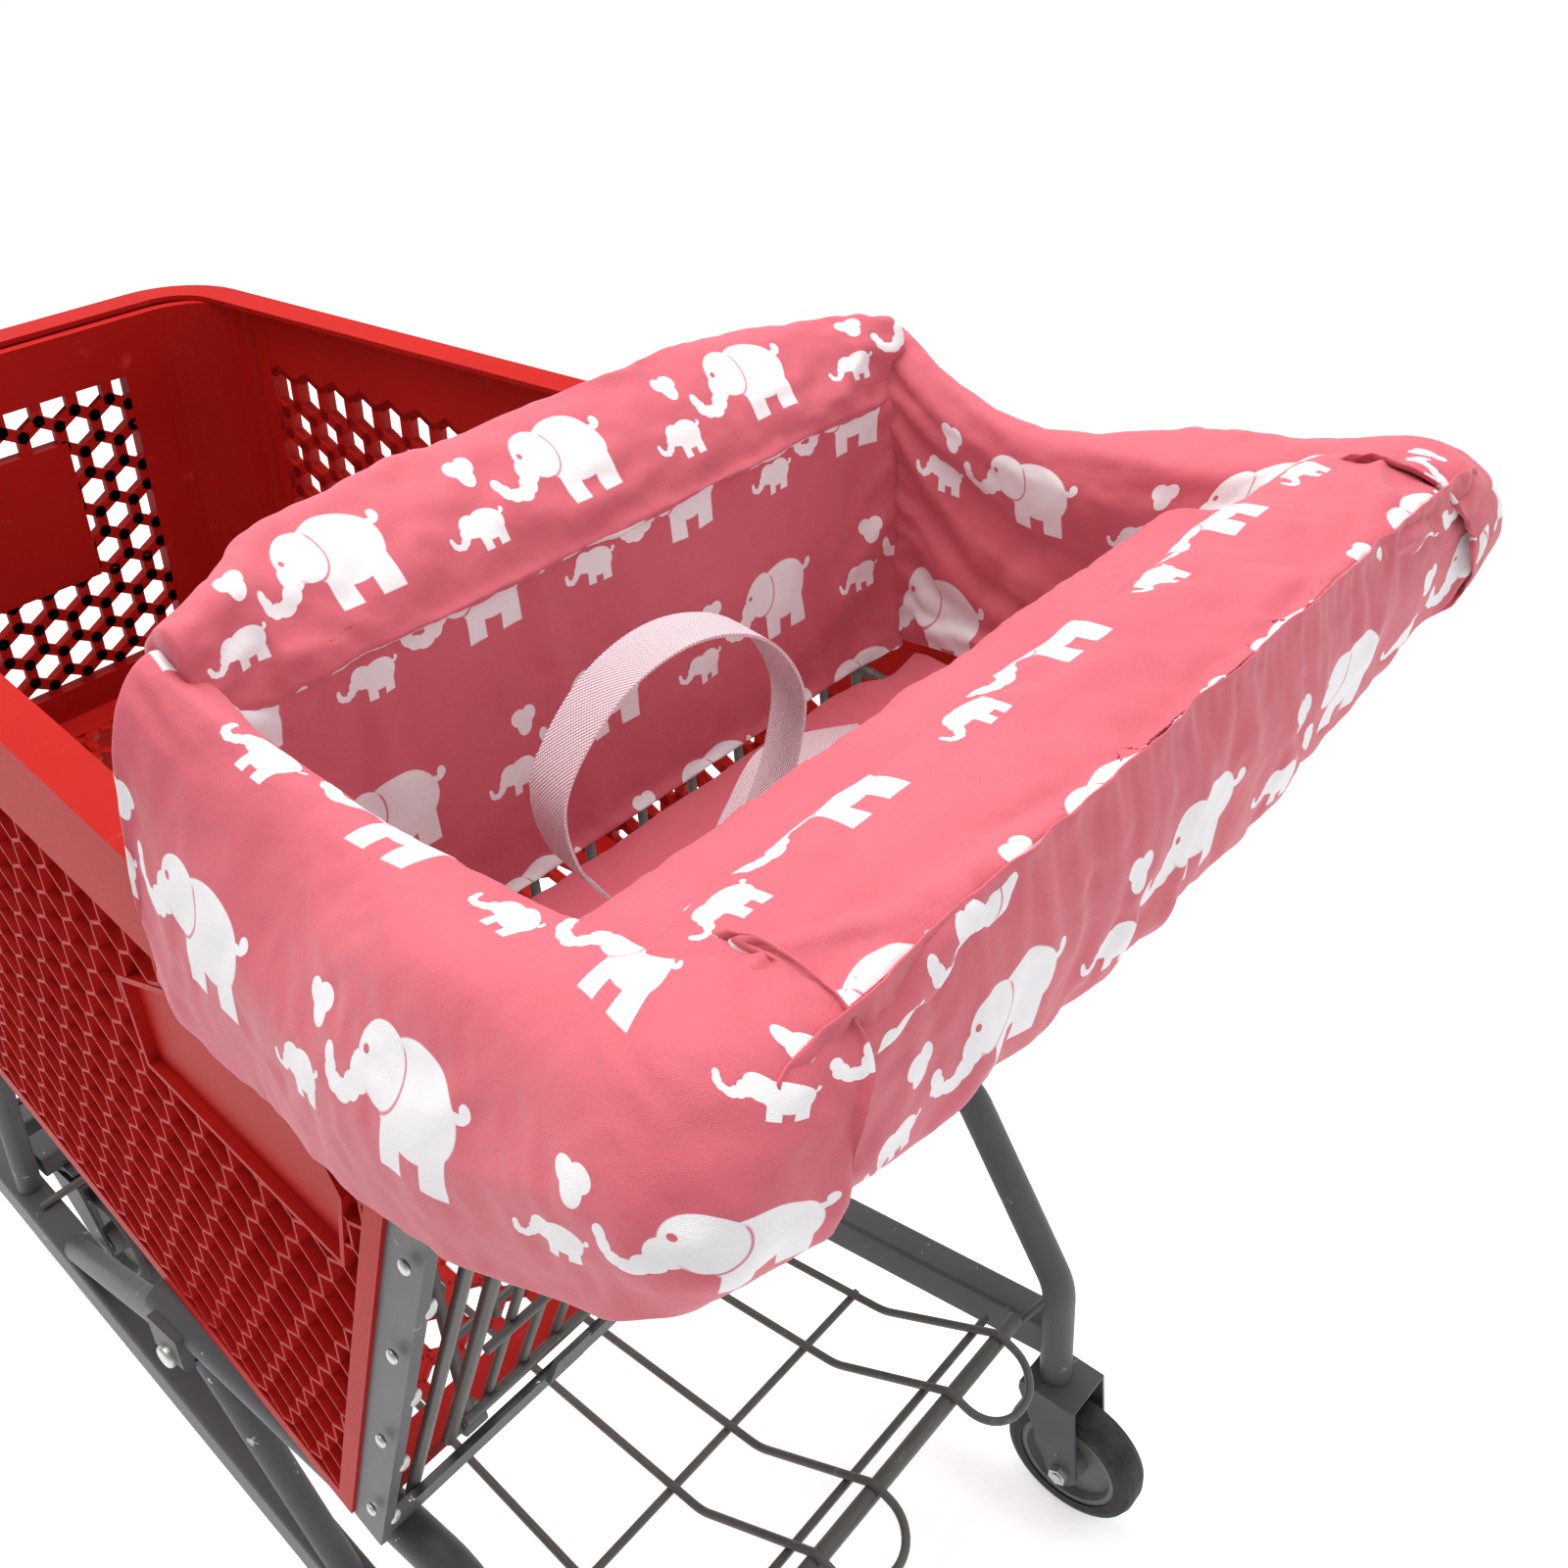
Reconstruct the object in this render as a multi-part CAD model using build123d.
from build123d import *
import math
import os

os.makedirs("parts", exist_ok=True)

# Shopping cart: red plastic basket on a steel frame, lifting rear gate with a folding child
# seat, lifting lower tray, two fixed and two swivelling wheels, and a padded fabric seat cover.
# Millimetres. X is right, +Y is the way the cart is pushed, +Z is up, the floor is z = 0.

# ---- basket ------------------------------------------------------------------------------
RIM_REAR_Y = -300.0
RIM_FRONT_Y = 640.0
RIM_HALF_REAR = 312.0       # half-width outside the rim at its rear end
RIM_HALF_FRONT = 214.0
RIM_REAR_Z = 932.0
RIM_FRONT_Z = RIM_REAR_Z - 22.0
RIM_WIDTH = 28.0
RIM_LIP = 62.0              # height of the lip that hangs from the rim's outer edge
RIM_SKIN = 4.0
RIM_CORNER = 66.0
WALL_OUTSIDE = 6.0          # from the rim's outer edge in to the tips of the wall's ribs
WALL_DEPTH = 14.0           # skin and ribs together
WALL_SKIN = 5.0
WALL_BORDER = 16.0          # solid edge round each side panel
FRONT_WALL_SETBACK = 32.0
WALL_LOW_Z = 444.0
WALL_RISE_FROM_Y = 400.0
WALL_FRONT_LOW_Z = 496.0
FRONT_PANEL_Y = 540.0       # where the side panels end and the front panel's corners begin
PANEL_GAP = 0.4
FLOOR_REAR_Y = -128.0
FLOOR_REAR_Z = 455.0
FLOOR_FRONT_Z = 575.0
FLOOR_THICK = 7.0
RECESS = ((15, -136), (10, -194), (-185, -179), (-197, -122), (-180, -100), (-58, -98))
RECESS_DEPTH = 6.0          # the label recess's corners are given from the rim's top

# ---- rear frame --------------------------------------------------------------------------
RAIL_LOW_Z = WALL_LOW_Z
RAIL_HIGH = 25.0
RAIL_THICK = 6.0
TAB_X = 140.0               # stop tabs standing up from the rail
TAB_HALF = 15.0
TAB_HIGH = 24.0
TAB_LAP = 8.0
TAB_THICK = 4.0
REAR_LEAN = 0.3156          # rearward travel for each millimetre of height
REAR_FOOT_Y = RIM_REAR_Y + round(REAR_LEAN * (RIM_REAR_Z - RAIL_LOW_Z))
POST_WIDE = 29.0
POST_THICK = 7.0
POST_OUTSIDE = 8.0          # from the rim's outer edge in to the post's outer face
POST_TOP_Z = RIM_REAR_Z - 27.0
HANDLE_Y = -415.0
HANDLE_Z = RIM_REAR_Z + 73.0
HANDLE_R = 14.0
TUBE_WALL = 1.6
BRACKET_BOSS = 20.0
LEG_X = RIM_HALF_REAR - 46.0
LEG_R = 14.0
LEG_LEVEL_Z = WALL_LOW_Z - 16.0
LEG_FRONT_Y = 120.0
LEG_BEND_Y = -196.0
LEG_KNEE = (-308.0, 262.0)
LEG_FOOT_Y = -320.0
LEG_BEND_R = 46.0
LEG_KNEE_R = 60.0

# ---- wheels, base ------------------------------------------------------------------------
WHEEL_R = 63.5
BASE_REAR = (LEG_X + 8.0, -310.0, 2 * WHEEL_R + 65.0)
BASE_FRONT = (RIM_HALF_FRONT - 16.0, 606.0, 2 * WHEEL_R + 23.0)
BASE_WIDE = 30.0
BASE_HIGH = 40.0
BASE_ROUND = 5.0
BOX_WALL = 2.0
NOSE_DEEP = 28.0
BUMPER_THICK = 10.0
BUMPER_GAP = 0.5
STRUT_R = 11.0
CLAMP_Y = 92.0
CLAMP_LONG = 34.0
CLAMP_WALL = 5.0
CLAMP_BOLT_DROP = 22.0      # the clamp's bolt is this far below the leg tube's middle
STRUT_FRONT_Y = 450.0
BRACE_REAR_Y = -25.0
UPRIGHT_Y = 525.0
UPRIGHT_LEAN = 18.0         # the uprights come in by this much at the floor
TYRE_WIDE = 32.0
TYRE_BORE_R = WHEEL_R - 16.5
HUB_WIDE = 40.0
AXLE_R = 5.0
RUNNING_FIT = 0.05
REAR_AXLE_Y = -352.0
FORK_GAP = 46.0
FORK_PLATE = 3.0
FORK_TOP_Z = 2 * WHEEL_R + 23.0
FORK_BOSS_R = 15.0
FORK_TOP_HALF = 27.0
CASTER_X = BASE_FRONT[0] - 57.0
CASTER_AXIS_Y = 552.0
CASTER_TRAIL = 44.0
CASTER_FORK_TOP_Z = 2 * WHEEL_R + 11.0
RACE_HIGH = 20.0
RACE_GAP = 0.5
UPPER_RACE_R = 27.0
LOWER_RACE_R = 22.0
KINGPIN_R = 6.0
MOUNT_PLATE = 4.0
BEARER_DEEP = 40.0
BEARER_HIGH = 25.0

# ---- gate and child seat -----------------------------------------------------------------
GATE_INSET = 14.0           # from the posts' rear faces forward to the gate's wires
GATE_HALF = RIM_HALF_REAR - 86.0
GATE_WIRE_STEP = 28.25
GATE_WIRES = 2 * round(GATE_HALF / GATE_WIRE_STEP) + 1
GATE_LOW_Z = 478.0
GATE_HINGE_Z = RIM_REAR_Z + 36.0
LEG_HOLE_LOW_Z = GATE_HINGE_Z - 132.0
LEG_HOLE_APART = 14.0       # from the middle to the wires between the leg holes
HINGE_ROD_R = 5.0
SLEEVE_R = 8.0
FRAME_WIRE_R = 4.0
WIRE_R = 3.0
GUARD_X = GATE_HALF + 30.0
BACK_TOP = (RIM_REAR_Y + 215.0, RIM_REAR_Z + 68.0)
BACK_HALF = GATE_HALF - 8.0
BACK_SIDE_X = BACK_HALF - 8.0
BACK_WIRES = 11
BACK_WIRES_FROM = 60.0      # the back's upright wires start this far above its hinge
PAN_Z = LEG_HOLE_LOW_Z - 24.0
PAN_OFFSET = 24.0
PAN_LONG = 96.0
PAN_HALF = BACK_HALF - 13.0
PAN_THICK = 5.0
HINGE_GAP = 0.4

# ---- lower tray --------------------------------------------------------------------------
TRAY_Z = 2 * WHEEL_R + 45.0
TRAY_HINGE = (490.0, 2 * WHEEL_R + 52.0)
TRAY_ROD_R = 4.0
TRAY_SLEEVE_R = 8.0
TRAY_OUTER = LEG_X - 59.0
TRAY_INNER = LEG_X - 129.0
TRAY_PAIRS = ((-TRAY_OUTER, -TRAY_INNER), (-35.5, 35.5), (TRAY_INNER, TRAY_OUTER))
TRAY_FAN_Y = 1575.0         # the tray's long wires would meet on the centre line here
TRAY_KINK_Y = -175.0
TRAY_BAR_Y = -288.0
TRAY_BAR_Z = TRAY_Z + 70.0
TRAY_LOOP = (-335.0, TRAY_BAR_Z - 18.0)
TRAY_WIRE_R = 3.5
TRAY_BAR_R = 7.0
TRAY_BAR_HALF = LEG_X - 31.0
TRAY_CROSS_Y = (-142.0, 60.0, 260.0)

# ---- fabric seat cover and belt ----------------------------------------------------------
PAD_HALF = RIM_HALF_REAR - 50.0
PAD_FRONT_Y = HANDLE_Y + 63.0
PAD_REAR_Y = HANDLE_Y - 32.0
PAD_HIGH = 80.0
PAD_MID_Z = HANDLE_Z - 3.0
COVER_CLEAR = 1.0
APRON_LOW_Z = PAD_MID_Z - 87.0
SHEET = 5.0
SIDE_FRONT_Y = -122.0
SIDE_REAR_Y = PAD_FRONT_Y + 2.0
SIDE_ARCH = ((-65, -92), (-63, 48), (-48, 72), (0, 72), (16, 50), (19, -47))
CAP_HALF = GATE_HALF + 12.0
CAP_TOP_Z = BACK_TOP[1] + 45.0
CAP_LOW_Z = BACK_TOP[1] - 45.0
CAP_FRONT = 30.0
CAP_REAR = 14.0
LINING_LOW_Z = PAN_Z + 20.0
WEBBING_WIDE = 25.0
WEBBING_THICK = 2.0
BUCKLE = (46.0, 25.0, 8.0)
BELT_LOOP = (-8.0, 66.0, 100.0)      # its middle in X, half its width, half its height

# ---- values worked out from those above --------------------------------------------------
TAPER = (RIM_HALF_REAR - RIM_HALF_FRONT) / (RIM_FRONT_Y - RIM_REAR_Y)
SIDE_ANGLE = math.degrees(math.atan(TAPER))
RIM_FALL = (RIM_REAR_Z - RIM_FRONT_Z) / (RIM_FRONT_Y - RIM_REAR_Y)
BUMPER_FRONT_Y = BASE_FRONT[1] + NOSE_DEEP + BUMPER_THICK
ORIGIN_Y = (max(BUMPER_FRONT_Y, RIM_FRONT_Y) + PAD_REAR_Y) / 2


def half_width(y):
    """Half-width outside the rim at a place along the cart."""
    return RIM_HALF_REAR - TAPER * (y - RIM_REAR_Y)


def rim_z(y):
    return RIM_REAR_Z - RIM_FALL * (y - RIM_REAR_Y)


def rear_y(z):
    """Rear face of the posts and the rail, which lean back as they rise."""
    return REAR_FOOT_Y - REAR_LEAN * (z - RAIL_LOW_Z)


def gate_y(z):
    return rear_y(z) + GATE_INSET


def base_point(y):
    """Middle of the right base tube's section at a place along the cart."""
    share = (y - BASE_REAR[1]) / (BASE_FRONT[1] - BASE_REAR[1])
    return Vector(*[a + share * (b - a) for a, b in zip(BASE_REAR, BASE_FRONT)])


GATE_HINGE_Y = gate_y(GATE_HINGE_Z)
BACK_HINGE = (gate_y(GATE_LOW_Z), GATE_LOW_Z)
BACK_SLOPE = (BACK_TOP[0] - BACK_HINGE[0]) / (BACK_TOP[1] - BACK_HINGE[1])


def back_y(z):
    """Middle plane of the seat back's wires."""
    return BACK_HINGE[0] + BACK_SLOPE * (z - BACK_HINGE[1])


PAN_HINGE_Y = back_y(PAN_Z) - PAN_OFFSET


# ---- shared shapes -----------------------------------------------------------------------
def save(name, *solids):
    """Write one node, moved so that the middle of the cart's length is at y = 0."""
    moved = [Pos(0, -ORIGIN_Y, 0) * solid for solid in solids]
    export_step(moved[0] if len(moved) == 1 else Compound(moved), f"parts/{name}.step")


def save_pair(name, solid):
    """Write a right-hand piece and its left-hand twin."""
    save(name + "_right", solid)
    save(name + "_left", mirror(solid, about=Plane.YZ))


def save_both(name, solid):
    """Write a right-hand piece and its left-hand twin as one node."""
    save(name, solid, mirror(solid, about=Plane.YZ))


def rod(start, end, radius, bore=0):
    start, end = Vector(*start), Vector(*end)
    along = Plane(origin=start, z_dir=end - start)
    section = Circle(radius) - Circle(bore) if bore else Circle(radius)
    return extrude(along * section, amount=(end - start).length)


def bent_rod(points, bends, radius, bore=0):
    path = FilletPolyline(*points, radius=bends)
    section = Circle(radius) - Circle(bore) if bore else Circle(radius)
    return sweep(Plane(origin=path @ 0, z_dir=path % 0) * section, path=path)


def across(points, low_x, high_x):
    """A slab with an outline in Y and Z, from low_x to high_x."""
    outline = make_face(Polyline(*points, close=True))
    return extrude(Plane.YZ.offset(low_x) * outline, amount=high_x - low_x)


def side_outline(points):
    """An outline in the side wall's own plane, from places along the cart and heights."""
    stretch = 1 / math.cos(math.radians(SIDE_ANGLE))
    return make_face(Polyline(*[((y - RIM_REAR_Y) * stretch, z) for y, z in points], close=True))


def side_slab(outline, outside, inside):
    """A slab in the right-hand wall's own plane, between two depths in from the rim's edge."""
    ahead = Vector(-TAPER, 1, 0).normalized()
    outward = ahead.cross(Vector(0, 0, 1))
    corner = Vector(RIM_HALF_REAR, RIM_REAR_Y, 0) - outward * inside
    wall = Plane(origin=corner, x_dir=ahead, z_dir=outward)
    return extrude(wall * outline, amount=inside - outside)


def plan_outline(side_in, front_in, corner, rear_y_end):
    """Plan of the basket, moved in from the rim's edge, with rounded front corners."""
    front_y = RIM_FRONT_Y - front_in
    rear = half_width(rear_y_end) - side_in
    front = half_width(front_y) - side_in
    outline = make_face(Polyline((-rear, rear_y_end), (-front, front_y), (front, front_y),
                                 (rear, rear_y_end), close=True))
    return fillet(outline.vertices().group_by(Axis.Y)[-1], corner)


# ---- basket ------------------------------------------------------------------------------
def basket_rim():
    """Rounded top flange with a lip down its outer edge, falling slightly to the front."""
    fall = math.atan(RIM_FALL)
    tilt = Plane(origin=(0, RIM_REAR_Y, RIM_REAR_Z), x_dir=(1, 0, 0),
                 z_dir=(0, math.sin(fall), math.cos(fall)))
    level = Pos(0, -RIM_REAR_Y, 0)
    outer = plan_outline(0, 0, RIM_CORNER, RIM_REAR_Y)
    beyond = RIM_REAR_Y - RIM_WIDTH
    inner = plan_outline(RIM_WIDTH, RIM_WIDTH, RIM_CORNER - RIM_WIDTH, beyond)
    skin = plan_outline(RIM_SKIN, RIM_SKIN, RIM_CORNER - RIM_SKIN, beyond)
    flange = extrude(tilt * (level * (outer - inner)), amount=-RIM_SKIN)
    lip = extrude(tilt * (level * (outer - skin)), amount=-RIM_LIP)
    rim = flange + lip
    low, high = RIM_REAR_Z - RIM_LIP - 10, RIM_REAR_Z + 8
    post_slot = [(RIM_REAR_Y - 9, low), (RIM_REAR_Y + 42, low), (RIM_REAR_Y + 42, high),
                 (RIM_REAR_Y - 9, high)]
    slot = side_slab(side_outline(post_slot), POST_OUTSIDE - 1, POST_OUTSIDE + POST_THICK + 1)
    return rim - slot - mirror(slot, about=Plane.YZ)


def wall_outline(front_y, rear_in):
    """Side view of the basket's wall: leaning rear edge, level then rising lower edge."""
    top_rear_z = rim_z(RIM_REAR_Y) - RIM_SKIN - PANEL_GAP
    rise = (WALL_FRONT_LOW_Z - WALL_LOW_Z) / (RIM_FRONT_Y - WALL_RISE_FROM_Y)
    top_front_z = rim_z(front_y) - RIM_SKIN - PANEL_GAP
    return [
        (rear_y(WALL_LOW_Z) + rear_in, WALL_LOW_Z),
        (WALL_RISE_FROM_Y, WALL_LOW_Z),
        (front_y, WALL_LOW_Z + rise * (front_y - WALL_RISE_FROM_Y)),
        (front_y, top_front_z),
        (rear_y(top_rear_z) + rear_in, top_rear_z - RIM_FALL * rear_in),
    ]


def basket_side():
    """Right panel: a thin skin inside, a deep border outside, and a blank recessed label panel."""
    border = POST_WIDE + 1.0
    depth = WALL_OUTSIDE + WALL_DEPTH
    whole = side_outline(wall_outline(FRONT_PANEL_Y, border))
    wall = side_slab(whole, WALL_OUTSIDE, depth)
    hollow = side_slab(offset(whole, amount=-WALL_BORDER, kind=Kind.INTERSECTION), WALL_OUTSIDE,
                       depth - WALL_SKIN)
    corners = [(y, RIM_REAR_Z + z) for y, z in RECESS]
    label = side_slab(side_outline(corners), WALL_OUTSIDE, depth - WALL_SKIN)
    flange_rear = 2.0
    low, high = WALL_LOW_Z - 8, POST_TOP_Z - RIM_LIP
    edge = [(rear_y(low) + flange_rear, low), (rear_y(low) + border + 12, low),
            (rear_y(high) + border + 12, high), (rear_y(high) + flange_rear, high)]
    flange = side_slab(side_outline(edge), POST_OUTSIDE - 4.0, POST_OUTSIDE - 0.5)
    label_hollow = side_slab(side_outline(corners), WALL_OUTSIDE, WALL_OUTSIDE + RECESS_DEPTH)
    return wall - hollow + (label - label_hollow) + flange


def basket_shell(low_z, high_z):
    """Upright U of the basket's walls, tall enough to be trimmed to its panels."""
    inside = WALL_OUTSIDE + WALL_DEPTH
    front = FRONT_WALL_SETBACK
    rear = RIM_REAR_Y
    outer = plan_outline(WALL_OUTSIDE, front, RIM_CORNER - 4, rear)
    inner = plan_outline(inside, front + WALL_SKIN + 3, RIM_CORNER - WALL_DEPTH, rear - 1)
    return extrude(Pos(0, 0, low_z) * (outer - inner), amount=high_z - low_z)


def basket_front():
    """Front panel with both rounded corners."""
    shape = wall_outline(RIM_FRONT_Y, POST_WIDE)
    low, high = shape[2], shape[3]
    rise = (low[1] - WALL_LOW_Z) / (low[0] - WALL_RISE_FROM_Y)
    start = FRONT_PANEL_Y + PANEL_GAP
    side = [(start, low[1] - rise * (RIM_FRONT_Y - start)), low, high,
            (start, rim_z(start) - RIM_SKIN - PANEL_GAP)]
    trim = across(side, -RIM_HALF_REAR, RIM_HALF_REAR)
    return basket_shell(WALL_LOW_Z, RIM_REAR_Z) & trim


def floor_z(y):
    """Top of the basket's floor, which rises towards the front."""
    front_y = RIM_FRONT_Y - FRONT_WALL_SETBACK - WALL_SKIN
    share = (y - FLOOR_REAR_Y) / (front_y - FLOOR_REAR_Y)
    return FLOOR_REAR_Z + share * (FLOOR_FRONT_Z - FLOOR_REAR_Z)


def basket_floor():
    """Sloping floor panel with a turned-down rear edge above the frame's rail."""
    front_y = RIM_FRONT_Y - FRONT_WALL_SETBACK - WALL_SKIN - 3 - PANEL_GAP
    inside = WALL_OUTSIDE + WALL_DEPTH + PANEL_GAP
    side = [(FLOOR_REAR_Y, floor_z(FLOOR_REAR_Y)), (front_y, floor_z(front_y)),
            (front_y, floor_z(front_y) - FLOOR_THICK),
            (FLOOR_REAR_Y + FLOOR_THICK, floor_z(FLOOR_REAR_Y + FLOOR_THICK) - FLOOR_THICK),
            (FLOOR_REAR_Y + FLOOR_THICK, WALL_LOW_Z), (FLOOR_REAR_Y, WALL_LOW_Z)]
    slab = across(side, -RIM_HALF_REAR, RIM_HALF_REAR)
    room = plan_outline(inside, RIM_FRONT_Y - front_y, RIM_CORNER - WALL_DEPTH, RIM_REAR_Y)
    return slab & extrude(room, amount=RIM_REAR_Z)


save("basket_rim", basket_rim())
save_pair("basket_side", basket_side())
save("basket_front", basket_front())
save("basket_floor", basket_floor())


# ---- rear frame --------------------------------------------------------------------------
def leg_tube(bore):
    """Bent tube: level under the basket's side, down and back, then upright into the fork."""
    points = [(LEG_X, LEG_FRONT_Y, LEG_LEVEL_Z), (LEG_X, LEG_BEND_Y, LEG_LEVEL_Z),
              (LEG_X, *LEG_KNEE), (LEG_X, LEG_FOOT_Y, FORK_TOP_Z - 4)]
    below_fork_top = Pos(LEG_X, LEG_FOOT_Y, FORK_TOP_Z - 20) * Box(60, 60, 40)
    return bent_rod(points, [LEG_BEND_R, LEG_KNEE_R], LEG_R, bore) - below_fork_top


def post():
    """Flat bar up the basket's rear corner."""
    low = RAIL_LOW_Z - 4
    outline = [(rear_y(low), low), (rear_y(low) + POST_WIDE, low),
               (rear_y(POST_TOP_Z) + POST_WIDE, POST_TOP_Z), (rear_y(POST_TOP_Z), POST_TOP_Z)]
    return side_slab(side_outline(outline), POST_OUTSIDE, POST_OUTSIDE + POST_THICK)


def bottom_rail(leg_outer):
    """Flat bar between the posts, coped round the leg tubes, with two stop tabs."""
    high = RAIL_LOW_Z + RAIL_HIGH
    outline = [(rear_y(RAIL_LOW_Z), RAIL_LOW_Z), (rear_y(RAIL_LOW_Z) + RAIL_THICK, RAIL_LOW_Z),
               (rear_y(high) + RAIL_THICK, high), (rear_y(high), high)]
    reach = half_width(REAR_FOOT_Y) - POST_OUTSIDE - POST_THICK - 1.5
    bar = across(outline, -reach, reach)
    low_z, high_z = high - TAB_LAP, high + TAB_HIGH
    for x in (-TAB_X, TAB_X):
        bar = bar + across([(rear_y(low_z) - TAB_THICK, low_z), (rear_y(low_z), low_z),
                            (rear_y(high_z), high_z), (rear_y(high_z) - TAB_THICK, high_z)],
                           x - TAB_HALF, x + TAB_HALF)
    return bar - leg_outer - mirror(leg_outer, about=Plane.YZ)


def handle_bracket():
    """Flat plate from the post's top back to the handle, holding the gate's hinge rod."""
    low = POST_TOP_Z
    front = rear_y(low) + POST_WIDE
    outline = [(rear_y(low), low), (front, low), (GATE_HINGE_Y + 16, GATE_HINGE_Z - 10),
               (GATE_HINGE_Y, GATE_HINGE_Z + 18), (HANDLE_Y + 30, HANDLE_Z - 14),
               (HANDLE_Y, HANDLE_Z + BRACKET_BOSS), (HANDLE_Y - BRACKET_BOSS, HANDLE_Z),
               (HANDLE_Y, HANDLE_Z - BRACKET_BOSS), (GATE_HINGE_Y - 30, GATE_HINGE_Z - 22)]
    plate = side_slab(side_outline(outline), POST_OUTSIDE, POST_OUTSIDE + POST_THICK)
    beyond = RIM_HALF_REAR + 60
    handle_hole = rod((0, HANDLE_Y, HANDLE_Z), (beyond, HANDLE_Y, HANDLE_Z), HANDLE_R)
    rod_hole = rod((0, GATE_HINGE_Y, GATE_HINGE_Z), (beyond, GATE_HINGE_Y, GATE_HINGE_Z), HINGE_ROD_R)
    return plate - handle_hole - rod_hole


def side_guards():
    """Upright wires that close the gaps beside the gate."""
    inset = RAIL_THICK + FRAME_WIRE_R + 0.3
    low, high = RAIL_LOW_Z + 6, GATE_HINGE_Z
    beyond = GUARD_X + 20
    hinge = rod((-beyond, GATE_HINGE_Y, GATE_HINGE_Z), (beyond, GATE_HINGE_Y, GATE_HINGE_Z), HINGE_ROD_R)
    return [rod((side * GUARD_X, rear_y(low) + inset, low), (side * GUARD_X, rear_y(high) + inset, high),
                FRAME_WIRE_R) - hinge for side in (-1, 1)]


leg_outer = leg_tube(0)
save_pair("leg_tube", leg_tube(LEG_R - TUBE_WALL))
save_pair("post", post())
save("bottom_rail", bottom_rail(leg_outer))
save_pair("handle_bracket", handle_bracket())
handle_reach = half_width(HANDLE_Y) - POST_OUTSIDE + 4
save("handle_tube", rod((-handle_reach, HANDLE_Y, HANDLE_Z), (handle_reach, HANDLE_Y, HANDLE_Z),
                        HANDLE_R, HANDLE_R - TUBE_WALL))
hinge_reach = half_width(GATE_HINGE_Y) - POST_OUTSIDE - 1
save("gate_hinge_rod", rod((-hinge_reach, GATE_HINGE_Y, GATE_HINGE_Z),
                           (hinge_reach, GATE_HINGE_Y, GATE_HINGE_Z), HINGE_ROD_R))
save("side_guard_wires", *side_guards())


# ---- base --------------------------------------------------------------------------------
def box_tube(start, end, wide, high, wall):
    """Rounded rectangular tube between two points, with its width kept level."""
    along = end - start
    section = (RectangleRounded(wide, high, BASE_ROUND)
               - RectangleRounded(wide - 2 * wall, high - 2 * wall, BASE_ROUND - wall))
    place = Plane(origin=start, x_dir=Vector(0, 0, 1).cross(along), z_dir=along)
    return extrude(place * section, amount=along.length)


def strut_clamp():
    """Saddle under the leg tube's front end, with an ear that takes the struts."""
    reach = LEG_R + CLAMP_WALL
    low, high = LEG_LEVEL_Z - CLAMP_BOLT_DROP - 8, LEG_LEVEL_Z + 6
    rear, front = CLAMP_Y - CLAMP_LONG / 2, CLAMP_Y + CLAMP_LONG / 2
    body = across([(rear, low), (front, low), (front, high), (rear, high)], LEG_X - reach, LEG_X + reach)
    body = fillet(body.edges().filter_by(Axis.Y).group_by(Axis.Z)[0], 6)
    tube = rod((LEG_X, CLAMP_Y - 60, LEG_LEVEL_Z), (LEG_X, CLAMP_Y + 60, LEG_LEVEL_Z), LEG_R)
    bolt_z = LEG_LEVEL_Z - CLAMP_BOLT_DROP
    hole = rod((LEG_X - 40, CLAMP_Y, bolt_z), (LEG_X + 40, CLAMP_Y, bolt_z), AXLE_R)
    return body - tube - hole


def clamp_bolt():
    """Round-headed bolt and nut through the clamp's ear."""
    reach = LEG_R + CLAMP_WALL
    z = LEG_LEVEL_Z - CLAMP_BOLT_DROP
    shank = rod((LEG_X - reach - 8, CLAMP_Y, z), (LEG_X + reach, CLAMP_Y, z), AXLE_R)
    head = rod((LEG_X + reach, CLAMP_Y, z), (LEG_X + reach + 5, CLAMP_Y, z), AXLE_R + 4)
    nut = Plane(origin=(LEG_X - reach, CLAMP_Y, z), z_dir=(-1, 0, 0)) * RegularPolygon(AXLE_R + 3, 6)
    return shank + fillet(head.edges().sort_by(Axis.X)[-1], 3) + extrude(nut, amount=6)


def strut(base_y, solids):
    """Round strut from the clamp down to the top of the base tube."""
    foot = base_point(base_y)
    way = 1 if base_y > CLAMP_Y else -1
    top = Vector(LEG_X, CLAMP_Y + 14 * way, LEG_LEVEL_Z - CLAMP_BOLT_DROP - 2)
    bar = rod(top, foot, STRUT_R, STRUT_R - TUBE_WALL)
    for solid in solids:
        bar = bar - solid
    return bar.solids().sort_by(SortBy.VOLUME)[-1]


def upright():
    """Tube from the base to the underside of the basket's floor, near the front."""
    foot = base_point(UPRIGHT_Y)
    head = (foot.X - UPRIGHT_LEAN, UPRIGHT_Y, floor_z(UPRIGHT_Y) + 10)
    bar = rod(foot, head, STRUT_R, STRUT_R - TUBE_WALL)
    rear, front = UPRIGHT_Y - 40, UPRIGHT_Y + 40
    drop = FLOOR_THICK + 0.2
    under = across([(rear, floor_z(rear) - drop), (front, floor_z(front) - drop),
                    (front, RIM_REAR_Z), (rear, RIM_REAR_Z)], 0, RIM_HALF_REAR)
    return bar - under


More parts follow.
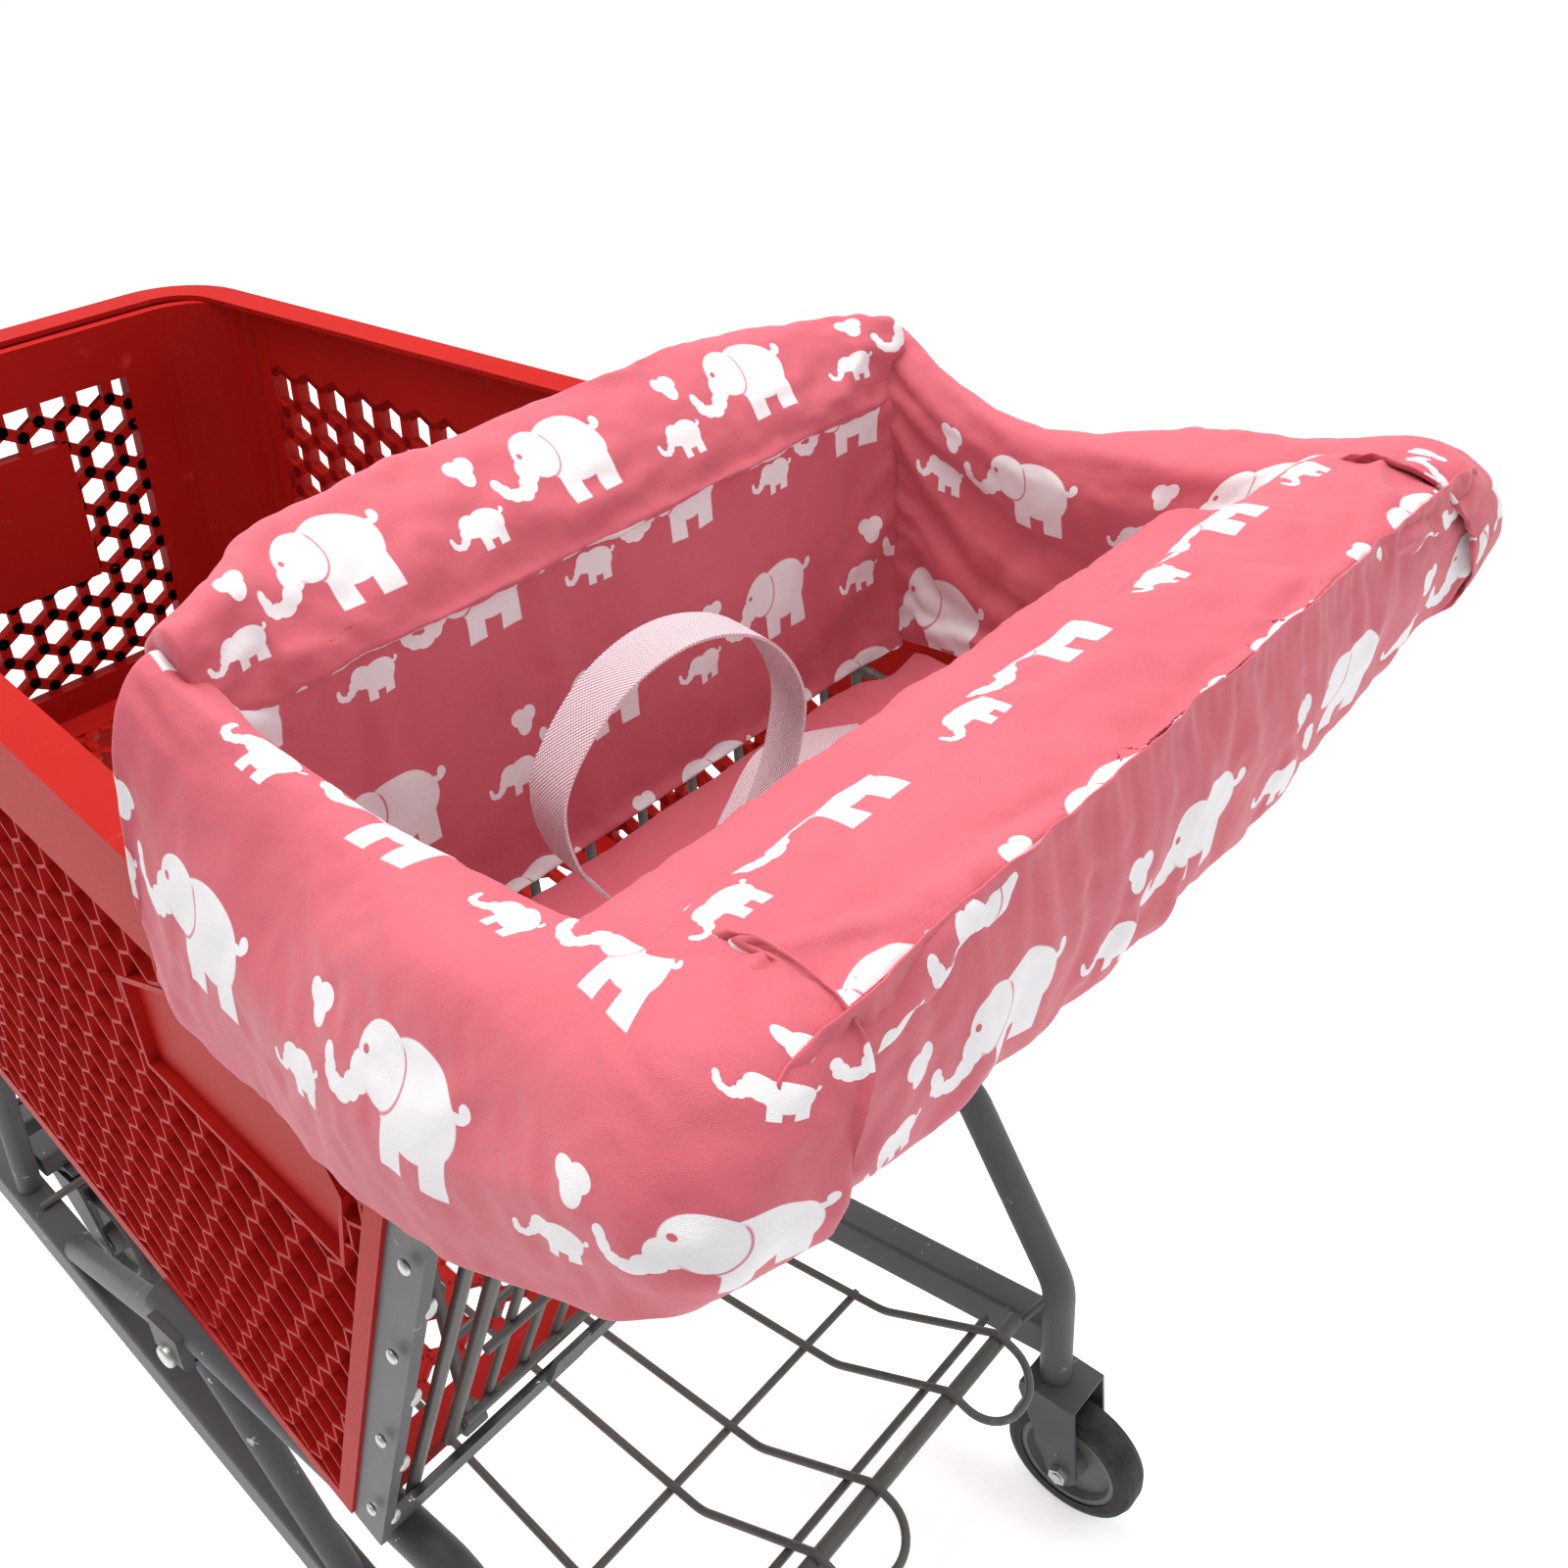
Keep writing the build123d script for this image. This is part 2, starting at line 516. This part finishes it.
base_start, base_end = Vector(*BASE_REAR), base_point(BASE_FRONT[1] + 5)
base_tube = box_tube(base_start, base_end, BASE_WIDE, BASE_HIGH, BOX_WALL)
base_along = base_end - base_start
base_place = Plane(origin=base_start, x_dir=Vector(0, 0, 1).cross(base_along), z_dir=base_along)
base_core = extrude(base_place * RectangleRounded(BASE_WIDE, BASE_HIGH, BASE_ROUND),
                    amount=base_along.length)
square_end = Pos(BASE_FRONT[0], BASE_FRONT[1] + 20, BASE_FRONT[2]) * Box(100, 40, 100)
save_pair("base_tube", (base_tube - leg_outer - square_end).solids().sort_by(SortBy.VOLUME)[-1])
clamp = strut_clamp()
save_pair("strut_clamp", clamp)
save_both("clamp_bolts", clamp_bolt())
bolt_z = LEG_LEVEL_Z - CLAMP_BOLT_DROP
bolt_room = rod((LEG_X - 30, CLAMP_Y, bolt_z), (LEG_X + 30, CLAMP_Y, bolt_z), AXLE_R + 4)
solid_clamp = clamp + bolt_room
save_pair("front_strut", strut(STRUT_FRONT_Y, [base_core, solid_clamp, leg_outer]))
save_both("rear_struts", strut(BRACE_REAR_Y, [base_core, solid_clamp, leg_outer]))
save_both("front_uprights", (upright() - base_core).solids().sort_by(SortBy.VOLUME)[-1])

nose_z = BASE_FRONT[2]
nose_reach = BASE_FRONT[0] + BASE_WIDE / 2
nose_y = BASE_FRONT[1] + NOSE_DEEP / 2
nose = box_tube(Vector(-nose_reach, nose_y, nose_z), Vector(nose_reach, nose_y, nose_z),
                NOSE_DEEP, BASE_HIGH, BOX_WALL)
save("nose_tube", nose)
bumper_y = BUMPER_FRONT_Y - (BUMPER_THICK - BUMPER_GAP) / 2
bumper = Pos(0, bumper_y, nose_z) * Box(2 * nose_reach, BUMPER_THICK - BUMPER_GAP, BASE_HIGH)
save("front_bumper", fillet(bumper.edges().filter_by(Axis.X), 3))


# ---- wheels ------------------------------------------------------------------------------
def turned(profile, x, y, z):
    """A ring turned about the X axis from (radius, width) points."""
    outline = make_face(Polyline(*profile, close=True))
    ring = revolve(Plane.XZ * outline, axis=Axis.Z)
    return Pos(x, y, z) * (Rot(0, 90, 0) * ring)


def tyre(x, y):
    half = TYRE_WIDE / 2
    round_r = 9.0
    profile = [(TYRE_BORE_R, -half), (WHEEL_R - round_r, -half), (WHEEL_R - 2.6, -half + 2.6),
               (WHEEL_R, -half + round_r), (WHEEL_R, half - round_r), (WHEEL_R - 2.6, half - 2.6),
               (WHEEL_R - round_r, half), (TYRE_BORE_R, half)]
    return turned(profile, x, y, WHEEL_R)


def hub(x, y):
    half = HUB_WIDE / 2
    rim = TYRE_WIDE / 2 - 2
    bore = AXLE_R + RUNNING_FIT
    profile = [(bore, -half), (15, -half), (17, -6), (40, -6), (42, -rim), (TYRE_BORE_R, -rim),
               (TYRE_BORE_R, rim), (42, rim), (40, 6), (17, 6), (15, half), (bore, half)]
    return turned(profile, x, y, WHEEL_R)


def axle(x, y):
    """Bolt, nut and the two spacers that centre the wheel in its fork."""
    reach = FORK_GAP / 2 + FORK_PLATE
    spacer = HUB_WIDE / 2 + 0.4
    shank = rod((x - reach - 8, y, WHEEL_R), (x + reach, y, WHEEL_R), AXLE_R)
    head = extrude(Plane(origin=(x + reach, y, WHEEL_R), z_dir=(1, 0, 0)) * RegularPolygon(9, 6), amount=6)
    nut = extrude(Plane(origin=(x - reach, y, WHEEL_R), z_dir=(-1, 0, 0)) * RegularPolygon(9, 6), amount=7)
    collars = [rod((x + side * spacer, y, WHEEL_R), (x + side * FORK_GAP / 2, y, WHEEL_R), 8)
               for side in (-1, 1)]
    return shank + head + nut + collars[0] + collars[1]


def fork(x, y, top_y, top_z, half_top):
    """Pressed fork: two tapering legs and a top plate."""
    boss = Pos(y, WHEEL_R) * Circle(FORK_BOSS_R)
    top = Pos(top_y, top_z - 5) * Rectangle(2 * half_top, 10)
    leg = make_hull((boss + top).edges()) - Pos(y, WHEEL_R) * Circle(AXLE_R)
    inner = FORK_GAP / 2
    legs = [extrude(Plane.YZ.offset(x + start) * leg, amount=FORK_PLATE)
            for start in (-inner - FORK_PLATE, inner)]
    plate = Pos(x, top_y, top_z - FORK_PLATE / 2) * Box(FORK_GAP, 2 * half_top, FORK_PLATE)
    return legs[0] + plate + legs[1]


save_pair("rear_fork", fork(LEG_X, REAR_AXLE_Y, LEG_FOOT_Y - 6, FORK_TOP_Z, FORK_TOP_HALF))
save_both("rear_axles", axle(LEG_X, REAR_AXLE_Y))
save_pair("rear_hub", hub(LEG_X, REAR_AXLE_Y))
save_pair("rear_tyre", tyre(LEG_X, REAR_AXLE_Y))

caster_wheel_y = CASTER_AXIS_Y - CASTER_TRAIL
race_mid = CASTER_FORK_TOP_Z + RACE_HIGH / 2
mount_z = CASTER_FORK_TOP_Z + RACE_HIGH
under_plate = CASTER_FORK_TOP_Z - FORK_PLATE


def on_kingpin(low, high, radius):
    """A cylinder on the right-hand caster's swivel axis."""
    return rod((CASTER_X, CASTER_AXIS_Y, low), (CASTER_X, CASTER_AXIS_Y, high), radius)


plate = Pos(CASTER_X, CASTER_AXIS_Y, mount_z + MOUNT_PLATE / 2) * Box(54, 66, MOUNT_PLATE)
upper_race = on_kingpin(race_mid + RACE_GAP / 2, mount_z, UPPER_RACE_R)
kingpin = on_kingpin(under_plate - 4, mount_z, KINGPIN_R)
pin_head = on_kingpin(under_plate - 5, under_plate - 0.4, KINGPIN_R + 4)
save_pair("caster_mount", plate + upper_race + kingpin + pin_head)
lower_race = on_kingpin(CASTER_FORK_TOP_Z, race_mid - RACE_GAP / 2, LOWER_RACE_R)
pin_hole = on_kingpin(WHEEL_R, mount_z, KINGPIN_R + RUNNING_FIT)
caster_fork = fork(CASTER_X, caster_wheel_y, CASTER_AXIS_Y - 4, CASTER_FORK_TOP_Z, FORK_TOP_HALF)
save_pair("caster_fork", caster_fork + lower_race - pin_hole)
save_pair("caster_axle", axle(CASTER_X, caster_wheel_y))
save_pair("caster_hub", hub(CASTER_X, caster_wheel_y))
save_pair("caster_tyre", tyre(CASTER_X, caster_wheel_y))
bearer_z = mount_z + MOUNT_PLATE + BEARER_HIGH / 2
bearer_half = base_point(CASTER_AXIS_Y + 20).X - BASE_WIDE / 2 - 1.5
save("caster_bearer", box_tube(Vector(-bearer_half, CASTER_AXIS_Y, bearer_z),
                               Vector(bearer_half, CASTER_AXIS_Y, bearer_z),
                               BEARER_DEEP, BEARER_HIGH, BOX_WALL))


# ---- gate --------------------------------------------------------------------------------
def gate_point(x, z, rearward=0.0):
    return (x, gate_y(z) - rearward, z)


def gate_grid():
    """Lower field of the gate: upright wires welded to level ones."""
    step = 2 * GATE_HALF / (GATE_WIRES - 1)
    low, high = GATE_LOW_Z + 1, LEG_HOLE_LOW_Z - FRAME_WIRE_R - 1
    places = [-GATE_HALF + i * step for i in range(1, GATE_WIRES - 1)]
    wires = [rod(gate_point(x, low), gate_point(x, high), WIRE_R) for x in places]
    behind = 2 * WIRE_R - 1
    inner = GATE_HALF - FRAME_WIRE_R - 0.7
    levels = [rod(gate_point(-inner, z, behind), gate_point(inner, z, behind), WIRE_R)
              for z in (GATE_LOW_Z + 20, GATE_LOW_Z + 122, GATE_LOW_Z + 242, LEG_HOLE_LOW_Z - 14)]
    foot = rod(gate_point(-GATE_HALF, GATE_LOW_Z), gate_point(GATE_HALF, GATE_LOW_Z),
               FRAME_WIRE_R + 2 * RUNNING_FIT)
    return wires[0].fuse(*wires[1:], *levels) - foot


def gate_frame():
    """Outer wires of the gate, the bar under the leg holes and the sleeves on the hinge rod."""
    top = GATE_HINGE_Z
    outer_r = FRAME_WIRE_R + 0.5
    sides = [rod(gate_point(x, low), gate_point(x, top), outer_r)
             for x, low in ((-GATE_HALF, GATE_LOW_Z - 5), (-LEG_HOLE_APART, LEG_HOLE_LOW_Z),
                            (LEG_HOLE_APART, LEG_HOLE_LOW_Z), (GATE_HALF, GATE_LOW_Z - 5))]
    bar = rod(gate_point(-GATE_HALF, LEG_HOLE_LOW_Z), gate_point(GATE_HALF, LEG_HOLE_LOW_Z), FRAME_WIRE_R)
    foot = rod(gate_point(-GATE_HALF, GATE_LOW_Z), gate_point(GATE_HALF, GATE_LOW_Z), FRAME_WIRE_R)
    sleeve = rod(gate_point(-GATE_HALF - 4, top), gate_point(GATE_HALF + 4, top), SLEEVE_R)
    beyond = RIM_HALF_REAR
    bore = rod(gate_point(-beyond, top), gate_point(beyond, top), HINGE_ROD_R + RUNNING_FIT)
    return sides[0].fuse(*sides[1:], bar, foot, sleeve) - bore


save("gate_grid", gate_grid())
save("gate_frame", gate_frame())


# ---- child seat --------------------------------------------------------------------------
def back_point(x, z, forward=0.0):
    return (x, back_y(z) + forward, z)


def seat_back():
    """Wire back that pivots on the gate's foot wire, with the cross wire the seat turns on."""
    step = 2 * BACK_HALF / (BACK_WIRES - 1)
    low = BACK_HINGE[1]
    high = BACK_TOP[1]
    first = low + BACK_WIRES_FROM
    places = [-BACK_HALF + i * step for i in range(1, BACK_WIRES - 1)]
    sides = (-BACK_SIDE_X, BACK_SIDE_X)
    ahead = 2 * WIRE_R - 1
    frame_sides = [rod(back_point(x, low), back_point(x, high), FRAME_WIRE_R) for x in sides]
    wires = [rod(back_point(x, first), back_point(x, high), WIRE_R) for x in places]
    top = rod(back_point(-BACK_SIDE_X - 4, high), back_point(BACK_SIDE_X + 4, high), FRAME_WIRE_R)
    levels = [rod(back_point(-BACK_SIDE_X, z, ahead), back_point(BACK_SIDE_X, z, ahead), WIRE_R)
              for z in (first + WIRE_R, low + 142, low + 242, high - 100)]
    eyes = [rod((x - 8, *BACK_HINGE), (x + 8, *BACK_HINGE), FRAME_WIRE_R + 4) for x in sides]
    bore = rod((-RIM_HALF_REAR, *BACK_HINGE), (RIM_HALF_REAR, *BACK_HINGE), FRAME_WIRE_R + RUNNING_FIT)
    pin = rod((-PAN_HALF - 6, PAN_HINGE_Y, PAN_Z), (PAN_HALF + 6, PAN_HINGE_Y, PAN_Z), FRAME_WIRE_R)
    arms = [rod((x, PAN_HINGE_Y, PAN_Z), back_point(x, PAN_Z + 3), FRAME_WIRE_R)
            for x in (-PAN_HALF - 4, PAN_HALF + 4)]
    return frame_sides[0].fuse(frame_sides[1], *wires, top, *levels, *eyes, pin, *arms) - bore


def seat_pan():
    """Moulded flap that turns on the seat back's cross wire."""
    half = PAN_HALF - 4
    rear = PAN_HINGE_Y - PAN_LONG
    flap = Pos(0, (PAN_HINGE_Y + rear) / 2, PAN_Z) * Box(2 * half, PAN_LONG, PAN_THICK)
    flap = fillet(flap.edges().filter_by(Axis.Z).group_by(Axis.Y)[0], 18)
    knuckle = rod((-half, PAN_HINGE_Y, PAN_Z), (half, PAN_HINGE_Y, PAN_Z), FRAME_WIRE_R + 2.5)
    bore = rod((-RIM_HALF_REAR, PAN_HINGE_Y, PAN_Z), (RIM_HALF_REAR, PAN_HINGE_Y, PAN_Z),
               FRAME_WIRE_R + RUNNING_FIT)
    return flap + knuckle - bore


save("seat_back", seat_back())
save("seat_pan", seat_pan())


# ---- lower tray --------------------------------------------------------------------------
def tray_x(x, y):
    """Long wires spread towards the rear."""
    return x * (TRAY_FAN_Y - y) / (TRAY_FAN_Y - TRAY_KINK_Y)


def tray_pair(left, right):
    """Two long wires and the loop that joins them behind the crossbar, bent from one rod."""
    front_y = TRAY_HINGE[0]
    loop_y, loop_z = TRAY_LOOP
    loop_r = 0.48 * (right - left)
    half = [(TRAY_Z, front_y), (TRAY_Z, TRAY_KINK_Y), (TRAY_BAR_Z, TRAY_BAR_Y), (loop_z, loop_y)]
    out = [(tray_x(left, max(y, TRAY_KINK_Y)), y, z) for z, y in half]
    back = [(tray_x(right, max(y, TRAY_KINK_Y)), y, z) for z, y in reversed(half)]
    return bent_rod(out + back, [30, 12, loop_r, loop_r, 12, 30], TRAY_WIRE_R)


def tray_bars():
    """Crossbar tube, the thinner bar before it and the cross wires, all under the long wires."""
    slope = (TRAY_BAR_Z - TRAY_Z) / (TRAY_KINK_Y - TRAY_BAR_Y)
    under = 2 * TRAY_WIRE_R - 1
    front_bar_y = TRAY_BAR_Y + 24
    front_bar_z = TRAY_Z + slope * (TRAY_KINK_Y - front_bar_y) - under - 1.5
    tube_z = TRAY_BAR_Z - TRAY_BAR_R - 3
    tube = rod((-TRAY_BAR_HALF, TRAY_BAR_Y, tube_z), (TRAY_BAR_HALF, TRAY_BAR_Y, tube_z), TRAY_BAR_R)
    wire = rod((-TRAY_BAR_HALF + 6, front_bar_y, front_bar_z),
               (TRAY_BAR_HALF - 6, front_bar_y, front_bar_z), TRAY_WIRE_R)
    crosses = [rod((tray_x(TRAY_PAIRS[0][0], y) - 8, y, TRAY_Z - under),
                   (tray_x(TRAY_PAIRS[2][1], y) + 8, y, TRAY_Z - under), TRAY_WIRE_R)
               for y in TRAY_CROSS_Y]
    return [tube, wire, *crosses]


bars = tray_bars()
sleeve_half = tray_x(TRAY_PAIRS[2][1], TRAY_HINGE[0]) + 12
sleeve = rod((-sleeve_half, *TRAY_HINGE), (sleeve_half, *TRAY_HINGE), TRAY_SLEEVE_R)
tray_bore = rod((-RIM_HALF_REAR, *TRAY_HINGE), (RIM_HALF_REAR, *TRAY_HINGE), TRAY_ROD_R + RUNNING_FIT)
wires = [tray_pair(*pair) for pair in TRAY_PAIRS]
tray = wires[0].fuse(*wires[1:], *bars, sleeve) - tray_bore
save("tray", tray)
tray_rod_half = base_point(TRAY_HINGE[0]).X + 4
save("tray_hinge_rod", rod((-tray_rod_half, *TRAY_HINGE), (tray_rod_half, *TRAY_HINGE), TRAY_ROD_R)
     - base_core - mirror(base_core, about=Plane.YZ))
rest_z = TRAY_BAR_Z - 2 * TRAY_BAR_R - 3 - HINGE_GAP - TRAY_WIRE_R
hook = bent_rod([(LEG_X - 4, LEG_KNEE[0] - 1, LEG_KNEE[1]), (LEG_X - 22, TRAY_BAR_Y - 1, rest_z),
                 (TRAY_BAR_HALF - 16, TRAY_BAR_Y, rest_z)], [9], TRAY_WIRE_R) - leg_outer
save_both("tray_rest_hooks", hook.solids().sort_by(SortBy.VOLUME)[-1])


# ---- fabric cover and belt ---------------------------------------------------------------
def handle_pad():
    """Padded sleeve round the handle."""
    middle = (PAD_FRONT_Y + PAD_REAR_Y) / 2
    block = Pos(0, middle, PAD_MID_Z) * Box(2 * PAD_HALF, PAD_FRONT_Y - PAD_REAR_Y, PAD_HIGH)
    block = fillet(block.edges().filter_by(Axis.X), 20)
    room = rod((-RIM_HALF_REAR, HANDLE_Y, HANDLE_Z), (RIM_HALF_REAR, HANDLE_Y, HANDLE_Z),
               HANDLE_R + COVER_CLEAR)
    return block - room


def side_cover():
    """Arch of fabric over the basket's rim beside the seat."""
    corners = [(RIM_HALF_REAR + x, RIM_REAR_Z + z) for x, z in SIDE_ARCH]
    sheet = trace(Polyline(*corners), line_width=SHEET)
    arch = extrude(Plane.XZ.offset(-SIDE_FRONT_Y) * sheet, amount=SIDE_FRONT_Y - SIDE_REAR_Y)
    room = rod((GATE_HALF - 26, GATE_HINGE_Y, GATE_HINGE_Z),
               (RIM_HALF_REAR - 12, GATE_HINGE_Y, GATE_HINGE_Z), HINGE_ROD_R + 8)
    return arch - room


def back_cover():
    """Fabric folded over the seat back's top, running down its rear face as the lining."""
    room = FRAME_WIRE_R * 2
    high = BACK_TOP[1]
    outline = [(back_y(LINING_LOW_Z) - CAP_REAR, LINING_LOW_Z), (back_y(CAP_TOP_Z) - CAP_REAR, CAP_TOP_Z),
               (back_y(CAP_TOP_Z) + CAP_FRONT, CAP_TOP_Z), (back_y(CAP_LOW_Z) + CAP_FRONT, CAP_LOW_Z),
               (back_y(CAP_LOW_Z) + room, CAP_LOW_Z), (back_y(high) + room, high + room),
               (back_y(high) - room, high + room), (back_y(LINING_LOW_Z) - room, LINING_LOW_Z)]
    return across(outline, -CAP_HALF, CAP_HALF)


def seat_lining():
    low = PAN_Z + PAN_THICK / 2 + HINGE_GAP
    front = PAN_HINGE_Y - FRAME_WIRE_R - 4
    rear = PAN_HINGE_Y - PAN_LONG + 2
    return Pos(0, (front + rear) / 2, low + 2) * Box(2 * PAN_HALF - 16, front - rear, 4)


apron_top = PAD_MID_Z - PAD_HIGH / 2 - COVER_CLEAR
save("cover_handle_pad", handle_pad())
save("cover_apron", across([(HANDLE_Y - 16, apron_top), (HANDLE_Y - 10, apron_top),
                            (HANDLE_Y + 4, APRON_LOW_Z), (HANDLE_Y - 2, APRON_LOW_Z)],
                           -PAD_HALF + 8, PAD_HALF - 8))
save_pair("cover_side", side_cover())
save("cover_back", back_cover())
save("cover_seat", seat_lining())
seat_top = PAN_Z + PAN_THICK / 2 + HINGE_GAP + 4
loop_x, loop_half, loop_high = BELT_LOOP
loop = Ellipse(loop_half, loop_high) - Ellipse(loop_half - WEBBING_THICK, loop_high - WEBBING_THICK)
loop_y = PAN_HINGE_Y - PAN_LONG + 44
save("belt_webbing", extrude(Plane.XZ.offset(-loop_y) * (Pos(loop_x, seat_top + loop_high + 1) * loop),
                             amount=WEBBING_WIDE))
save("belt_buckle", Pos(-92, loop_y - 30, seat_top + BUCKLE[2] / 2 + 0.3) * Box(*BUCKLE))
